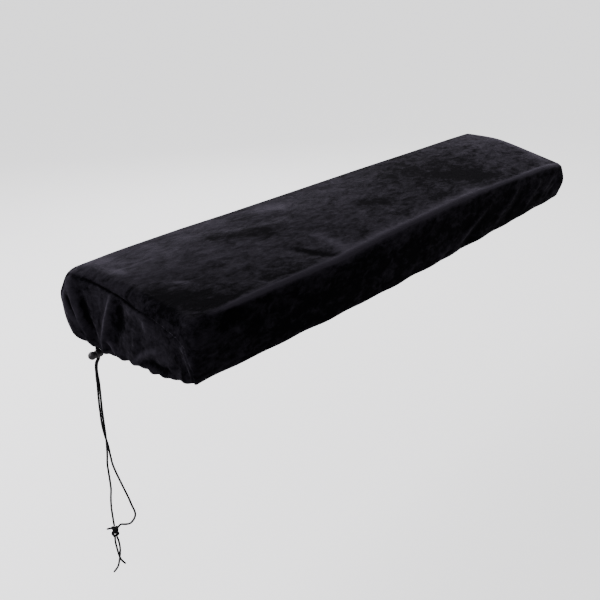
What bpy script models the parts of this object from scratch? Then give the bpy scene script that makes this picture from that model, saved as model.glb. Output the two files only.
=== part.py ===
"""Fitted velvet dust cover for a long keyboard, drawn in at its hem by a cord with a lock.

Metres, +Z up. X runs along the keyboard, the near end is at -X and the front faces -Y.
The origin is under the middle of the cover's top, where the cloth lies on the keyboard.
"""

from math import acos, atan2, cos, degrees, exp, pi, radians, sin, sqrt

import bmesh
import bpy
import numpy as np
from mathutils import Matrix, Vector

# Outside sizes of the cover where it is drawn tight, and its cloth.
LENGTH = 1.360
WIDTH = 0.286
HEIGHT = 0.130
CLOTH = 0.002
SEAM_GAP = 0.0006

# The hem turns under the keyboard and ends in a tunnel for the drawcord.
TUCK = 0.021
TUNNEL_SHARE = 0.67
TUNNEL_SWELL = 0.0028

# Radii of the edges, and how much softer the back corner of the near end is.
BOTTOM_RADIUS = 0.011
FRONT_RADIUS = 0.011
BACK_RADIUS = 0.017
CORNER_SOFTENING = 0.010
CORNER_REACH = 0.055

# The walls swell between the top and the hem, which is drawn in.
BILLOW = 0.0035
HEM_DRAWN_IN = 0.0035

# Height of the top along the cover: at the front edge and behind the ridge.
TOP_SECTIONS = (
    # x, front, back
    (-0.690, 0.105, 0.1300),
    (-0.560, 0.105, 0.1315),
    (-0.430, 0.103, 0.1325),
    (-0.310, 0.100, 0.1315),
    (-0.110, 0.106, 0.1315),
    (0.150, 0.109, 0.1320),
    (0.370, 0.102, 0.1310),
    (0.580, 0.092, 0.1310),
    (0.690, 0.080, 0.1295),
)
RIDGE_Y = 0.040
RIDGE_SOFTNESS = 0.16
SHARE_SOFTNESS = 0.003

# How far the hem hangs below its level, along the near end and along the long sides.
NEAR_HEM = (
    # y, drop
    (-0.143, 0.003),
    (-0.118, 0.007),
    (-0.094, 0.010),
    (-0.058, 0.015),
    (-0.028, 0.013),
    (0.010, 0.013),
    (0.045, 0.013),
    (0.072, 0.015),
    (0.090, 0.012),
    (0.114, 0.006),
    (0.143, 0.002),
)
LONG_HEM = (
    # x, drop
    (-0.680, 0.003),
    (-0.550, 0.007),
    (-0.420, 0.011),
    (-0.280, 0.015),
    (-0.110, 0.017),
    (0.080, 0.016),
    (0.300, 0.013),
    (0.500, 0.010),
    (0.680, 0.007),
)
FAR_HEM_DROP = 0.008

# Loose cloth that stands out from the keyboard.
BULGES = (
    # x, y, z, out, reach
    (-0.680, 0.143, 0.092, 0.0150, 0.042),
    (-0.680, 0.143, 0.034, 0.0110, 0.042),
    (0.680, -0.143, 0.044, 0.0080, 0.045),
    (0.680, 0.143, 0.060, 0.0060, 0.050),
)

# Main folds, drawn on the outside as actual heights: a positive rise stands out.
FOLDS = (
    # face, rise, width, (along, up) or, on the top, (along, across)
    ("near", 0.0030, 0.0050,
     ((0.129, 0.113), (0.123, 0.100), (0.117, 0.079), (0.113, 0.055), (0.108, 0.038), (0.098, 0.022), (0.084, 0.006))),
    ("near", 0.0024, 0.0050, ((0.138, 0.095), (0.135, 0.074), (0.129, 0.057), (0.118, 0.038))),
    ("near", -0.0028, 0.0045, ((0.130, 0.088), (0.125, 0.064), (0.118, 0.046))),
    ("near", 0.0018, 0.0038, ((0.120, 0.032), (0.106, 0.018), (0.093, 0.006))),
    ("near", -0.0055, 0.0095, ((0.109, 0.106), (0.103, 0.080), (0.096, 0.050), (0.083, 0.016))),
    ("near", 0.0056, 0.0060, ((0.030, 0.107), (0.040, 0.082), (0.053, 0.052), (0.063, 0.028), (0.069, 0.003))),
    ("near", -0.0050, 0.0120, ((0.020, 0.098), (0.018, 0.070), (0.029, 0.044), (0.045, 0.022))),
    ("near", 0.0030, 0.0040, ((0.058, 0.030), (0.047, 0.021), (0.041, 0.010), (0.037, 0.000))),
    ("near", -0.0028, 0.0045, ((0.059, 0.019), (0.052, 0.003))),
    ("near", 0.0040, 0.0085, ((-0.002, 0.087), (-0.025, 0.090), (-0.044, 0.084), (-0.046, 0.066))),
    ("near", 0.0026, 0.0060, ((-0.018, 0.052), (-0.009, 0.026), (-0.003, 0.002))),
    ("near", 0.0028, 0.0055, ((0.000, 0.002), (-0.028, 0.024), (-0.051, 0.036), (-0.074, 0.039))),
    ("near", -0.0030, 0.0055, ((-0.018, 0.006), (-0.038, 0.018), (-0.063, 0.018), (-0.092, 0.014))),
    ("near", 0.0020, 0.0060, ((-0.036, 0.003), (-0.058, 0.008), (-0.084, 0.004))),
    ("near", 0.0026, 0.0042, ((-0.119, 0.066), (-0.127, 0.054), (-0.134, 0.034), (-0.139, 0.014))),
    ("near", -0.0026, 0.0042, ((-0.113, 0.050), (-0.121, 0.034), (-0.128, 0.014))),
    ("front", 0.0032, 0.0120, ((0.086, 0.002), (0.175, 0.039), (0.250, 0.066), (0.290, 0.084))),
    ("front", -0.0034, 0.0150, ((0.140, 0.000), (0.200, 0.027), (0.262, 0.052))),
    ("front", 0.0024, 0.0090, ((0.034, 0.004), (0.089, 0.027), (0.130, 0.046))),
    ("front", 0.0018, 0.0090, ((-0.019, 0.010), (-0.013, 0.034), (-0.003, 0.062))),
    ("front", 0.0030, 0.0120, ((0.290, 0.022), (0.364, 0.052), (0.410, 0.078))),
    ("front", -0.0026, 0.0120, ((0.350, 0.016), (0.410, 0.044), (0.450, 0.070))),
    ("front", 0.0028, 0.0110, ((0.450, 0.018), (0.498, 0.044), (0.545, 0.070))),
    ("front", 0.0028, 0.0100, ((0.535, 0.020), (0.585, 0.048), (0.625, 0.070))),
    ("front", -0.0026, 0.0090, ((0.590, 0.014), (0.630, 0.036), (0.655, 0.058))),
    ("front", 0.0016, 0.0070, ((-0.187, 0.024), (-0.183, 0.004))),
    ("top", -0.0020, 0.0160, ((-0.420, 0.082), (-0.350, 0.060), (-0.290, 0.045), (-0.220, 0.047))),
    ("top", -0.0016, 0.0110, ((-0.372, -0.052), (-0.352, -0.086), (-0.320, -0.132))),
    ("top", 0.0014, 0.0200, ((-0.664, 0.052), (-0.620, 0.020), (-0.560, 0.004))),
    ("back", 0.0028, 0.0150, ((-0.560, 0.008), (-0.470, 0.044), (-0.400, 0.090))),
    ("back", -0.0026, 0.0160, ((-0.250, 0.010), (-0.170, 0.046), (-0.110, 0.090))),
    ("back", 0.0028, 0.0150, ((0.180, 0.010), (0.240, 0.046), (0.280, 0.088))),
    ("back", -0.0026, 0.0150, ((0.440, 0.010), (0.510, 0.046), (0.560, 0.090))),
    ("far", 0.0030, 0.0090, ((0.080, 0.004), (0.070, 0.044), (0.088, 0.090))),
    ("far", -0.0032, 0.0100, ((0.040, 0.006), (0.020, 0.044), (0.000, 0.088))),
    ("far", 0.0028, 0.0090, ((-0.030, 0.004), (-0.062, 0.036), (-0.090, 0.064))),
)
FOLD_FADE = 0.22
FOLD_LEAST = 0.25

# Gathers along the hem: wavelength, share of the height, phase.
END_GATHERS = ((0.024, 0.55, 0.4), (0.037, 0.45, 2.1))
SIDE_GATHERS = ((0.118, 0.60, 1.0), (0.187, 0.40, 0.2))
END_GATHER_HEIGHT = 0.0022
SIDE_GATHER_HEIGHT = 0.0014
GATHER_REACH = 0.028

# The seam round each end panel, as places on the end of the cover.
SEAM_INSET = 0.006
SEAM_SPREAD = 0.030
NEAR_SEAM_TOP = (
    # y, height
    (0.134, 0.1140),
    (0.110, 0.1160),
    (0.086, 0.1150),
    (0.060, 0.1125),
    (0.033, 0.1090),
    (0.004, 0.1030),
    (-0.023, 0.0960),
    (-0.045, 0.0910),
    (-0.065, 0.0860),
    (-0.086, 0.0790),
    (-0.108, 0.0710),
    (-0.126, 0.0600),
)
FAR_SEAM_TOP = (
    # y, height
    (0.134, 0.1130),
    (0.100, 0.1150),
    (0.060, 0.1140),
    (0.020, 0.1080),
    (-0.020, 0.0980),
    (-0.060, 0.0860),
    (-0.100, 0.0710),
    (-0.126, 0.0560),
)

# Rows of the cloth's grid: shares of the turned-in hem, heights on a wall, places on the top.
HEM_ROWS = (1.0, 0.70, 0.33)
WALL_ROWS = (0.0, 0.0055, 0.011, 0.034, 0.058, 0.083, 0.107, 0.116)
TOP_ROWS = (0.0, 0.0085, 0.017, 0.046, 0.076, 0.108)
END_COLUMNS = (0.0, 0.0065, 0.013, 0.028, 0.050)
MIDDLE_COLUMNS = 42
SEAM_COLUMNS = 3

# Rows of an end panel: those that go straight across, then those that fan up to its seam.
NEAR_ROWS = (0.0, 0.0055, 0.011, 0.019, 0.028)
NEAR_FAN = 9
NEAR_COLUMNS = 36
FAR_ROWS = (0.0, 0.0055, 0.011, 0.028)
FAR_FAN = 6
FAR_COLUMNS = 22

# The drawcord leaves the tunnel in the near end, where the hem is pulled out to it.
EXIT_Y = 0.0925
EXIT_REACH = 0.020
EXIT_TUCK = 0.012
CORD = 0.0033
HEM_TOUCH = 0.0006
RIM_RAYS = 12

# The lock hangs on the two strands, turned so that its button points out from the near end.
LOCK_X = -0.6745
LOCK_Z = -0.1425
LOCK_TURN = radians(-4)
CORD_TURN = radians(-54)
BARREL_RADIUS = 0.0065
BARREL_MOUTH = 0.0048
BARREL_END = 0.0085
BARREL_ROUND = 0.0030
MOUTH_ROUND = 0.0008
BORE_RADIUS = 0.0043
BORE_END = 0.0067
STEM_RADIUS = 0.0039
STEM_END = 0.0044
BUTTON_RADIUS = 0.0072
BUTTON_CENTRE = 0.0109
BUTTON_FLAT = 0.0069
SLOT_WIDTH = 0.0039
SLOT_HALF = 0.0038
STEM_SLOT_OUT = 0.0056
STEM_SLOT_IN = 0.0038
ROUND_STEPS = 24
BARREL_ARC_STEPS = 4
BUTTON_ARC_STEPS = 8
WELD = 1e-6
SHARP_ANGLE = radians(50)

# Routes of the cords in millimetres from the middle of the lock, as seen from in front of them.
STRAND_RIGHT = (
    # side, front, down
    (1.19, -1.42, 0.0),
    (1.19, -1.42, 8.0),
    (0.4, -1.42, 11.0),
    (-1.5, -1.45, 14.5),
    (-3.25, -1.6, 19.0),
    (-4.3, -1.75, 25.0),
    (-4.8, -1.8, 33.0),
    (-4.2, -1.7, 45.0),
    (-3.2, -1.5, 58.0),
    (-3.0, -1.2, 87.0),
    (-2.9, -1.3, 110.0),
    (-2.3, -1.7, 134.0),
    (-1.7, -2.1, 155.0),
    (-1.3, -1.8, 178.0),
    (-1.9, -1.0, 198.0),
    (-3.2, -0.4, 217.0),
    (-2.4, 0.0, 234.0),
    (-1.5, 0.2, 252.0),
    (-1.1, 0.2, 270.0),
    (-2.9, 0.2, 289.0),
    (-3.9, 0.1, 308.0),
    (-3.3, 0.0, 329.0),
    (-2.0, 0.0, 351.0),
)
STRAND_LEFT = (
    # side, front, down
    (-1.19, 1.42, 0.0),
    (-1.19, 1.42, 8.0),
    (-2.0, 1.42, 11.0),
    (-3.75, 1.55, 14.5),
    (-4.95, 1.7, 19.0),
    (-5.5, 1.8, 25.0),
    (-5.6, 1.85, 33.0),
    (-5.9, 1.7, 45.0),
    (-5.7, 1.5, 58.0),
    (-6.3, 1.2, 87.0),
    (-5.9, 1.3, 110.0),
    (-4.9, 1.8, 134.0),
    (-2.2, 2.3, 154.0),
    (2.0, 2.1, 176.0),
    (3.9, 1.2, 196.0),
    (6.2, 0.6, 216.0),
    (10.3, 0.2, 232.0),
    (16.2, 0.0, 250.5),
    (22.8, 0.0, 269.5),
    (29.4, 0.2, 288.5),
    (34.6, 0.4, 306.0),
    (38.0, 0.4, 316.0),
    (38.7, 0.4, 325.0),
    (34.8, 0.4, 335.5),
    (27.8, 0.4, 343.8),
    (19.0, 0.3, 346.2),
    (10.3, 0.1, 347.0),
    (4.6, 0.0, 353.5),
)
TAIL_RIGHT = (
    # side, front, down
    (1.1, 0.3, 374.0),
    (3.8, 0.9, 385.0),
    (5.0, 1.3, 399.0),
    (3.7, 2.0, 415.5),
    (0.1, 1.8, 434.0),
    (-3.3, 0.8, 444.0),
    (-11.4, 0.0, 456.8),
)
TAIL_LEFT = (
    # side, front, down
    (-2.8, 0.0, 374.0),
    (-3.1, -0.4, 384.0),
    (-2.7, -0.9, 393.0),
    (-0.8, -1.7, 409.0),
    (1.2, -2.0, 420.5),
    (4.6, -1.5, 429.0),
    (12.2, -0.8, 437.0),
)
KNOT_TAB = (
    # side, front, down
    (-7.9, 0.0, 357.0),
    (-11.0, 0.4, 356.6),
    (-16.3, 0.8, 358.2),
)
POINT_STEP = 0.0060
ROUTE_STEPS = 24
CORD_SIDES = 2

# The knot, placed in the same millimetres, with the ridges of its two wound strands.
KNOT_CENTRE = (-1.4, 0.0, 362.5)
KNOT_HALF = (0.0056, 0.0050, 0.0108)
KNOT_BLUNT = 4.0
KNOT_TWIST = 2.4
KNOT_RIDGE = 0.07
KNOT_STRANDS = 2
KNOT_SEGMENTS = 16
KNOT_RINGS = 12


def column(table, index):
    return np.array([row[index] for row in table], float)


def top_height(x, y):
    """Height of the cover's top above the hem's level: level behind the ridge, falling to the front."""
    stations = column(TOP_SECTIONS, 0)
    front = np.interp(x, stations, column(TOP_SECTIONS, 1))
    back = np.interp(x, stations, column(TOP_SECTIONS, 2))
    slope = (RIDGE_Y - y) / (RIDGE_Y + WIDTH / 2)
    fall = (slope + np.sqrt(slope**2 + RIDGE_SOFTNESS**2)) / (1 + sqrt(1 + RIDGE_SOFTNESS**2))
    return back - (back - front) * fall


TOP_UNDERSIDE = float(top_height(0, 0)) - CLOTH


def end_share(points):
    """1 on the ends and 0 on the long sides, turning over at the corners."""
    from_end = LENGTH / 2 - np.abs(points[:, 0]) + SHARE_SOFTNESS
    from_side = WIDTH / 2 - np.abs(points[:, 1]) + SHARE_SOFTNESS
    return from_side / (from_end + from_side)


def hem_drop(points):
    near = np.interp(points[:, 1], column(NEAR_HEM, 0), column(NEAR_HEM, 1))
    ends = np.where(points[:, 0] < 0, near, FAR_HEM_DROP)
    sides = np.interp(points[:, 0], column(LONG_HEM, 0), column(LONG_HEM, 1))
    share = end_share(points)
    return share * ends + (1 - share) * sides


def edge_radius(points):
    """Radius of the cover's edges: grows up the walls and to the back, and most at one corner."""
    back = np.clip(points[:, 1] / WIDTH + 0.5, 0, 1)
    up = np.clip(points[:, 2] / HEIGHT, 0, 1)
    top = FRONT_RADIUS + (BACK_RADIUS - FRONT_RADIUS) * back
    corner = np.array((-LENGTH / 2, WIDTH / 2, HEIGHT))
    away = np.linalg.norm(points - corner, axis=1) / CORNER_REACH
    return BOTTOM_RADIUS + (top - BOTTOM_RADIUS) * up**2 + CORNER_SOFTENING * np.exp(-(away**2))


def box_height(x, y, height):
    """An actual height taken to the level box that the cover is shaped from."""
    return height * HEIGHT / float(top_height(x, y))


def fold_line(face, places):
    if face == "top":
        return np.array([(x, y, HEIGHT) for x, y in places])
    if face in ("near", "far"):
        x = -LENGTH / 2 if face == "near" else LENGTH / 2
        return np.array([(x, y, box_height(x, y, z)) for y, z in places])
    y = -WIDTH / 2 if face == "front" else WIDTH / 2
    return np.array([(x, y, box_height(x, y, z)) for x, z in places])


def fold_rise(points):
    """Each fold is a soft ridge or trough along its line, lower towards its two ends."""
    total = np.zeros(len(points))
    for face, rise, width, places in FOLDS:
        line = fold_line(face, places)
        steps = np.diff(line, axis=0)
        lengths = np.linalg.norm(steps, axis=1)
        starts = np.cumsum(lengths) - lengths
        nearest = np.full(len(points), np.inf)
        share = np.zeros(len(points))
        for place, step, length, start in zip(line, steps, lengths, starts):
            along = np.clip((points - place) @ step / length**2, 0, 1)
            away = np.linalg.norm(points - place - along[:, None] * step, axis=1)
            share = np.where(away < nearest, (start + along * length) / lengths.sum(), share)
            nearest = np.minimum(away, nearest)
        fade = np.sin(np.clip(np.minimum(share, 1 - share) / FOLD_FADE, 0, 1) * pi / 2)
        total += rise * (FOLD_LEAST + (1 - FOLD_LEAST) * fade) * np.exp(-((nearest / width) ** 2))
    return total


def gather_rise(points):
    """Waves that the drawcord gathers in the hem, gone a little way up the walls."""

    def waves(along, gathers):
        return sum(part * np.sin(2 * pi * along / length + phase) for length, part, phase in gathers)

    share = end_share(points)
    ends = END_GATHER_HEIGHT * waves(points[:, 1], END_GATHERS)
    sides = SIDE_GATHER_HEIGHT * waves(points[:, 0], SIDE_GATHERS)
    return (share * ends + (1 - share) * sides) * np.exp(-points[:, 2] / GATHER_REACH)


def cover_skin(points, depth):
    """Places on a level box with sharp edges, taken to the cover's outside or to a depth in its cloth."""
    radius = edge_radius(points)[:, None]
    half = np.array((LENGTH, WIDTH, HEIGHT)) / 2
    middle = np.array((0, 0, HEIGHT / 2))
    core = np.clip(points - middle, radius - half, half - radius) + middle
    out = points - core
    out /= np.linalg.norm(out, axis=1)[:, None]
    up = points[:, 2] / HEIGHT
    upright = 1 - out[:, 2] ** 2
    rise = BILLOW * np.sin(pi * up) - HEM_DRAWN_IN * (1 - up) ** 3
    for x, y, z, swell, reach in BULGES:
        away = np.linalg.norm(points - (x, y, box_height(x, y, z)), axis=1)
        rise = rise + swell * np.exp(-((away / reach) ** 2))
    rise = upright * rise + fold_rise(points) + gather_rise(points)
    placed = core + (radius + (rise - depth)[:, None]) * out
    placed[:, 2] *= top_height(placed[:, 0], placed[:, 1]) / HEIGHT
    placed[:, 2] -= hem_drop(points) * (1 - up) ** 2 + TOP_UNDERSIDE
    return placed


def tuck_depth(end, y):
    """How far the hem turns in under the keyboard."""
    pulled = exp(-(((y - EXIT_Y) / EXIT_REACH) ** 2)) if end < 0 else 0
    return TUCK - (TUCK - EXIT_TUCK) * pulled


def cloth_depth(hem_share):
    """Thickness of the cloth, which swells round the drawcord at the hem's edge."""
    into = min((1 - hem_share) / TUNNEL_SHARE, 1)
    return CLOTH + TUNNEL_SWELL * sin(pi * into)


def seam_corner(end, side):
    table = NEAR_SEAM_TOP if end < 0 else FAR_SEAM_TOP
    y, height = table[0] if side > 0 else table[-1]
    return abs(y), box_height(end * LENGTH / 2, y, height)


def hem_place(end, side, share, gap=0.0):
    """Where an end panel's seam crosses a row of the hem."""
    y = side * (WIDTH / 2 - SEAM_INSET - share * TUCK - gap)
    return (end * (LENGTH / 2 - share * tuck_depth(end, y)), y, 0.0)


def upright_place(end, side, height, gap=0.0):
    """Where an end panel's seam passes on its way up a wall."""
    corner_y, corner_height = seam_corner(end, side)
    climb = float(np.interp(height, (SEAM_SPREAD, HEIGHT), (0, 1)))
    inset = WIDTH / 2 - SEAM_INSET
    y = inset + (corner_y - inset) * climb - gap
    z = min(height, SEAM_SPREAD) + (corner_height - gap - SEAM_SPREAD) * climb
    return (end * LENGTH / 2, side * y, z)


def top_place(end, y):
    """Where an end panel's seam passes under a row of the top."""
    table = NEAR_SEAM_TOP if end < 0 else FAR_SEAM_TOP
    seam_y = float(np.interp(y, (-WIDTH / 2, WIDTH / 2), (table[-1][0], table[0][0])))
    height = float(np.interp(seam_y, column(table, 0)[::-1], column(table, 1)[::-1]))
    return (end * LENGTH / 2, seam_y, box_height(end * LENGTH / 2, seam_y, height))


def main_row(side, share, height, columns):
    """A row of the main panel on a wall: its seam places, the box's edges and the columns between."""
    inset = share * TUCK
    y = side * (WIDTH / 2 - inset)
    middle = [(x * (1 - 2 * inset / LENGTH), y, height) for x in columns]
    ends = [hem_place(end, side, share) if share else upright_place(end, side, height) for end in (-1, 1)]
    return with_seams(ends, middle)


def with_seams(ends, middle):
    near, far = (np.array(place) for place in ends)
    first, last = np.array(middle[0]), np.array(middle[-1])
    shares = np.arange(SEAM_COLUMNS) / SEAM_COLUMNS
    start = [near + (first - near) * part for part in shares]
    finish = [far + (last - far) * part for part in shares[::-1]]
    return np.array([*start, *middle, *finish])


def main_grid():
    inner = LENGTH / 2 - END_COLUMNS[-1]
    middle = np.linspace(-inner, inner, MIDDLE_COLUMNS + 1)[1:-1]
    edges = [LENGTH / 2 - inset for inset in END_COLUMNS]
    columns = [*(-x for x in edges), *middle, *reversed(edges)]
    tops = [WIDTH / 2 - inset for inset in TOP_ROWS]
    tops = [*tops, 0.0, *(-y for y in reversed(tops))]
    back = [main_row(1, share, 0.0, columns) for share in HEM_ROWS]
    back += [main_row(1, 0.0, height, columns) for height in WALL_ROWS]
    over = [
        with_seams([top_place(end, y) for end in (-1, 1)], [(x, y, HEIGHT) for x in columns]) for y in tops
    ]
    front = [main_row(-1, 0.0, height, columns) for height in reversed(WALL_ROWS)]
    front += [main_row(-1, share, 0.0, columns) for share in reversed(HEM_ROWS)]
    hem = [cloth_depth(share) for share in HEM_ROWS]
    plain = [CLOTH] * (2 * len(WALL_ROWS) + len(tops))
    return np.array(back + over + front), np.array([*hem, *plain, *reversed(hem)])


def across(start, finish, count):
    shares = np.linspace(0, 1, count + 1)[:, None]
    return np.array(start) + (np.array(finish) - np.array(start)) * shares


def end_grid(end, wall_rows, fan_rows, columns):
    """An end panel: straight rows over the hem and the foot of the wall, then rows that fan up."""
    rows = []
    for share in HEM_ROWS:
        row = across(hem_place(end, 1, share, SEAM_GAP), hem_place(end, -1, share, SEAM_GAP), columns)
        row[:, 0] = [end * (LENGTH / 2 - share * tuck_depth(end, y)) for y in row[:, 1]]
        rows.append(row)
    for height in wall_rows:
        sides = [upright_place(end, side, height, SEAM_GAP) for side in (1, -1)]
        rows.append(across(*sides, columns))
    tops = [WIDTH / 2 - inset for inset in TOP_ROWS]
    seam = np.array([top_place(end, y) for y in (*tops, 0.0, *(-y for y in reversed(tops)))])
    corners = [upright_place(end, side, HEIGHT, SEAM_GAP) for side in (1, -1)]
    upper = across(*corners, columns)
    upper[:, 2] = np.interp(upper[:, 1], seam[::-1, 1], seam[::-1, 2]) - SEAM_GAP
    foot = rows[-1]
    rows += [foot + (upper - foot) * step / fan_rows for step in range(1, fan_rows + 1)]
    depths = [cloth_depth(share) for share in HEM_ROWS] + [CLOTH] * (len(rows) - len(HEM_ROWS))
    return np.array(rows), np.array(depths)


def plain_material(name, colour, roughness):
    material = bpy.data.materials.new(name)
    material.use_nodes = True
    shader = material.node_tree.nodes["Principled BSDF"]
    shader.inputs["Base Color"].default_value = (*colour, 1)
    shader.inputs["Roughness"].default_value = roughness
    shader.inputs["Metallic"].default_value = 0.0
    return material


def add_object(name, mesh, material, parent=None):
    data = bpy.data.meshes.new(name)
    mesh.to_mesh(data)
    mesh.free()
    data.shade_smooth()
    data.set_sharp_from_angle(angle=SHARP_ANGLE)
    data.materials.append(material)
    item = bpy.data.objects.new(name, data)
    item.parent = parent
    bpy.context.scene.collection.objects.link(item)
    return item


def add_panel(name, grid, depths, material):
    """A grid laid on the cover's outside, extruded inwards by the depth of the cloth."""
    rows, columns = grid.shape[:2]
    places = grid.reshape(-1, 3)
    outside = cover_skin(places, np.zeros(len(places)))
    inside = cover_skin(places, np.repeat(depths, columns))
    mesh = bmesh.new()
    bmesh.ops.create_grid(mesh, x_segments=rows - 1, y_segments=columns - 1, size=1.0)
    spots = {grid_spot(vert): vert for vert in mesh.verts}
    sheet = mesh.faces[:] + mesh.edges[:] + mesh.verts[:]
    made = bmesh.ops.extrude_face_region(mesh, geom=sheet, use_keep_orig=True)["geom"]
    copies = {grid_spot(item): item for item in made if isinstance(item, bmesh.types.BMVert)}
    for spot, outer, inner in zip(sorted(spots), outside, inside):
        spots[spot].co = outer
        copies[spot].co = inner
    bmesh.ops.recalc_face_normals(mesh, faces=mesh.faces[:])
    if mesh.calc_volume(signed=True) < 0:
        bmesh.ops.reverse_faces(mesh, faces=mesh.faces[:])
    return add_object(name, mesh, material)


def grid_spot(vert):
    return (round(vert.co.x, 5), round(vert.co.y, 5))


def add_turned(name, profile, material, parent):
    """A piece turned about its X axis from places (along, radius), first and last on the axis."""
    mesh = bmesh.new()
    verts = [mesh.verts.new((along, 0, radius)) for along, radius in profile]
    outline = [mesh.edges.new(pair) for pair in zip(verts[:-1], verts[1:])]
    bmesh.ops.spin(
        mesh,
        geom=verts + outline,
        cent=(0, 0, 0),
        axis=(1, 0, 0),
        angle=2 * pi,
        steps=ROUND_STEPS,
        use_merge=True,
    )
    bmesh.ops.remove_doubles(mesh, verts=mesh.verts[:], dist=WELD)
    bmesh.ops.recalc_face_normals(mesh, faces=mesh.faces[:])
    return add_object(name, mesh, material, parent)


def arc(centre, radius, start, finish, steps):
    """Places (along, radius) round a centre on the axis or beside it, angles in degrees from +X."""
    angles = [radians(start + (finish - start) * step / steps) for step in range(steps + 1)]
    return [(centre[0] + radius * cos(angle), centre[1] + radius * sin(angle)) for angle in angles]


def cut_slot(piece, first, last, parent):
    """An upright slot through a piece of the lock, between two places on its axis."""
    mesh = bmesh.new()
    size = Matrix.Diagonal((last - first, SLOT_WIDTH, 4 * BARREL_RADIUS, 1))
    bmesh.ops.create_cube(mesh, size=1.0, matrix=Matrix.Translation(((first + last) / 2, 0, 0)) @ size)
    data = bpy.data.meshes.new(piece.name + "_slot")
    mesh.to_mesh(data)
    mesh.free()
    cutter = bpy.data.objects.new(piece.name + "_slot", data)
    cutter.parent = parent
    cutter.hide_render = True
    cutter.display_type = "WIRE"
    bpy.context.scene.collection.objects.link(cutter)
    slot = piece.modifiers.new("slot", "BOOLEAN")
    slot.operation = "DIFFERENCE"
    slot.object = cutter


def add_lock(hang, material):
    round_in = BARREL_END - BARREL_ROUND, BARREL_RADIUS - BARREL_ROUND
    barrel = add_turned(
        "lock_barrel",
        [
            (BORE_END, 0),
            (BORE_END, BORE_RADIUS),
            (-BARREL_MOUTH, BORE_RADIUS),
            (-BARREL_MOUTH, BARREL_RADIUS - MOUTH_ROUND),
            (-BARREL_MOUTH + MOUTH_ROUND, BARREL_RADIUS),
            *arc(round_in, BARREL_ROUND, 90, 0, BARREL_ARC_STEPS),
            (BARREL_END, 0),
        ],
        material,
        hang,
    )
    cut_slot(barrel, -SLOT_HALF, SLOT_HALF, hang)
    flat_angle = degrees(acos((BUTTON_CENTRE - BUTTON_FLAT) / BUTTON_RADIUS))
    plunger = add_turned(
        "lock_plunger",
        [
            (STEM_END, 0),
            (STEM_END, STEM_RADIUS),
            (-BUTTON_FLAT, STEM_RADIUS),
            *arc((-BUTTON_CENTRE, 0), BUTTON_RADIUS, flat_angle, 180, BUTTON_ARC_STEPS),
        ],
        material,
        hang,
    )
    cut_slot(plunger, -STEM_SLOT_OUT, STEM_SLOT_IN, hang)


def smooth_route(route):
    """Points at even steps on a smooth curve through a route's own points."""
    stops = np.array([(side, -front, -down) for side, front, down in route]) / 1000
    padded = np.vstack([2 * stops[0] - stops[1], stops, 2 * stops[-1] - stops[-2]])
    fine = []
    for a, b, c, d in zip(padded[:-3], padded[1:-2], padded[2:-1], padded[3:]):
        for part in np.linspace(0, 1, ROUTE_STEPS, endpoint=False):
            bend = 2 * b + (c - a) * part + (2 * a - 5 * b + 4 * c - d) * part**2
            fine.append((bend + (3 * b - a - 3 * c + d) * part**3) / 2)
    fine = np.array([*fine, stops[-1]])
    runs = np.concatenate([[0], np.cumsum(np.linalg.norm(np.diff(fine, axis=0), axis=1))])
    spots = np.linspace(0, runs[-1], round(runs[-1] / POINT_STEP) + 1)
    return np.array([np.interp(spots, runs, fine[:, axis]) for axis in range(3)]).T


def add_cord(name, route, material, hang):
    curve = bpy.data.curves.new(name, "CURVE")
    curve.dimensions = "3D"
    curve.bevel_depth = CORD / 2
    curve.bevel_resolution = CORD_SIDES
    curve.use_fill_caps = True
    points = smooth_route(route)
    spline = curve.splines.new("POLY")
    spline.points.add(len(points) - 1)
    for point, place in zip(spline.points, points):
        point.co = (*place, 1)
    curve.materials.append(material)
    item = bpy.data.objects.new(name, curve)
    item.parent = hang
    bpy.context.scene.collection.objects.link(item)
    return item


def add_knot(material, hang):
    """A blunt upright bead with the ridges of two wound strands."""
    mesh = bmesh.new()
    bmesh.ops.create_uvsphere(mesh, u_segments=KNOT_SEGMENTS, v_segments=KNOT_RINGS, radius=1.0)
    side, front, down = KNOT_CENTRE
    centre = Vector((side, -front, -down)) / 1000
    for vert in mesh.verts:
        turn = atan2(vert.co.y, vert.co.x) * KNOT_STRANDS + KNOT_TWIST * vert.co.z
        ridge = 1 + KNOT_RIDGE * sin(turn) * (1 - vert.co.z**2)
        blunt = sum(abs(part) ** KNOT_BLUNT for part in vert.co) ** (1 / KNOT_BLUNT)
        shape = [part * half * ridge / blunt for part, half in zip(vert.co, KNOT_HALF)]
        vert.co = centre + Vector(shape)
    add_object("knot", mesh, material, hang)


def add_frame(name, turn):
    frame = bpy.data.objects.new(name, None)
    frame.location = (LOCK_X, EXIT_Y, LOCK_Z)
    frame.rotation_euler.z = turn
    bpy.context.scene.collection.objects.link(frame)
    return frame


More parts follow.
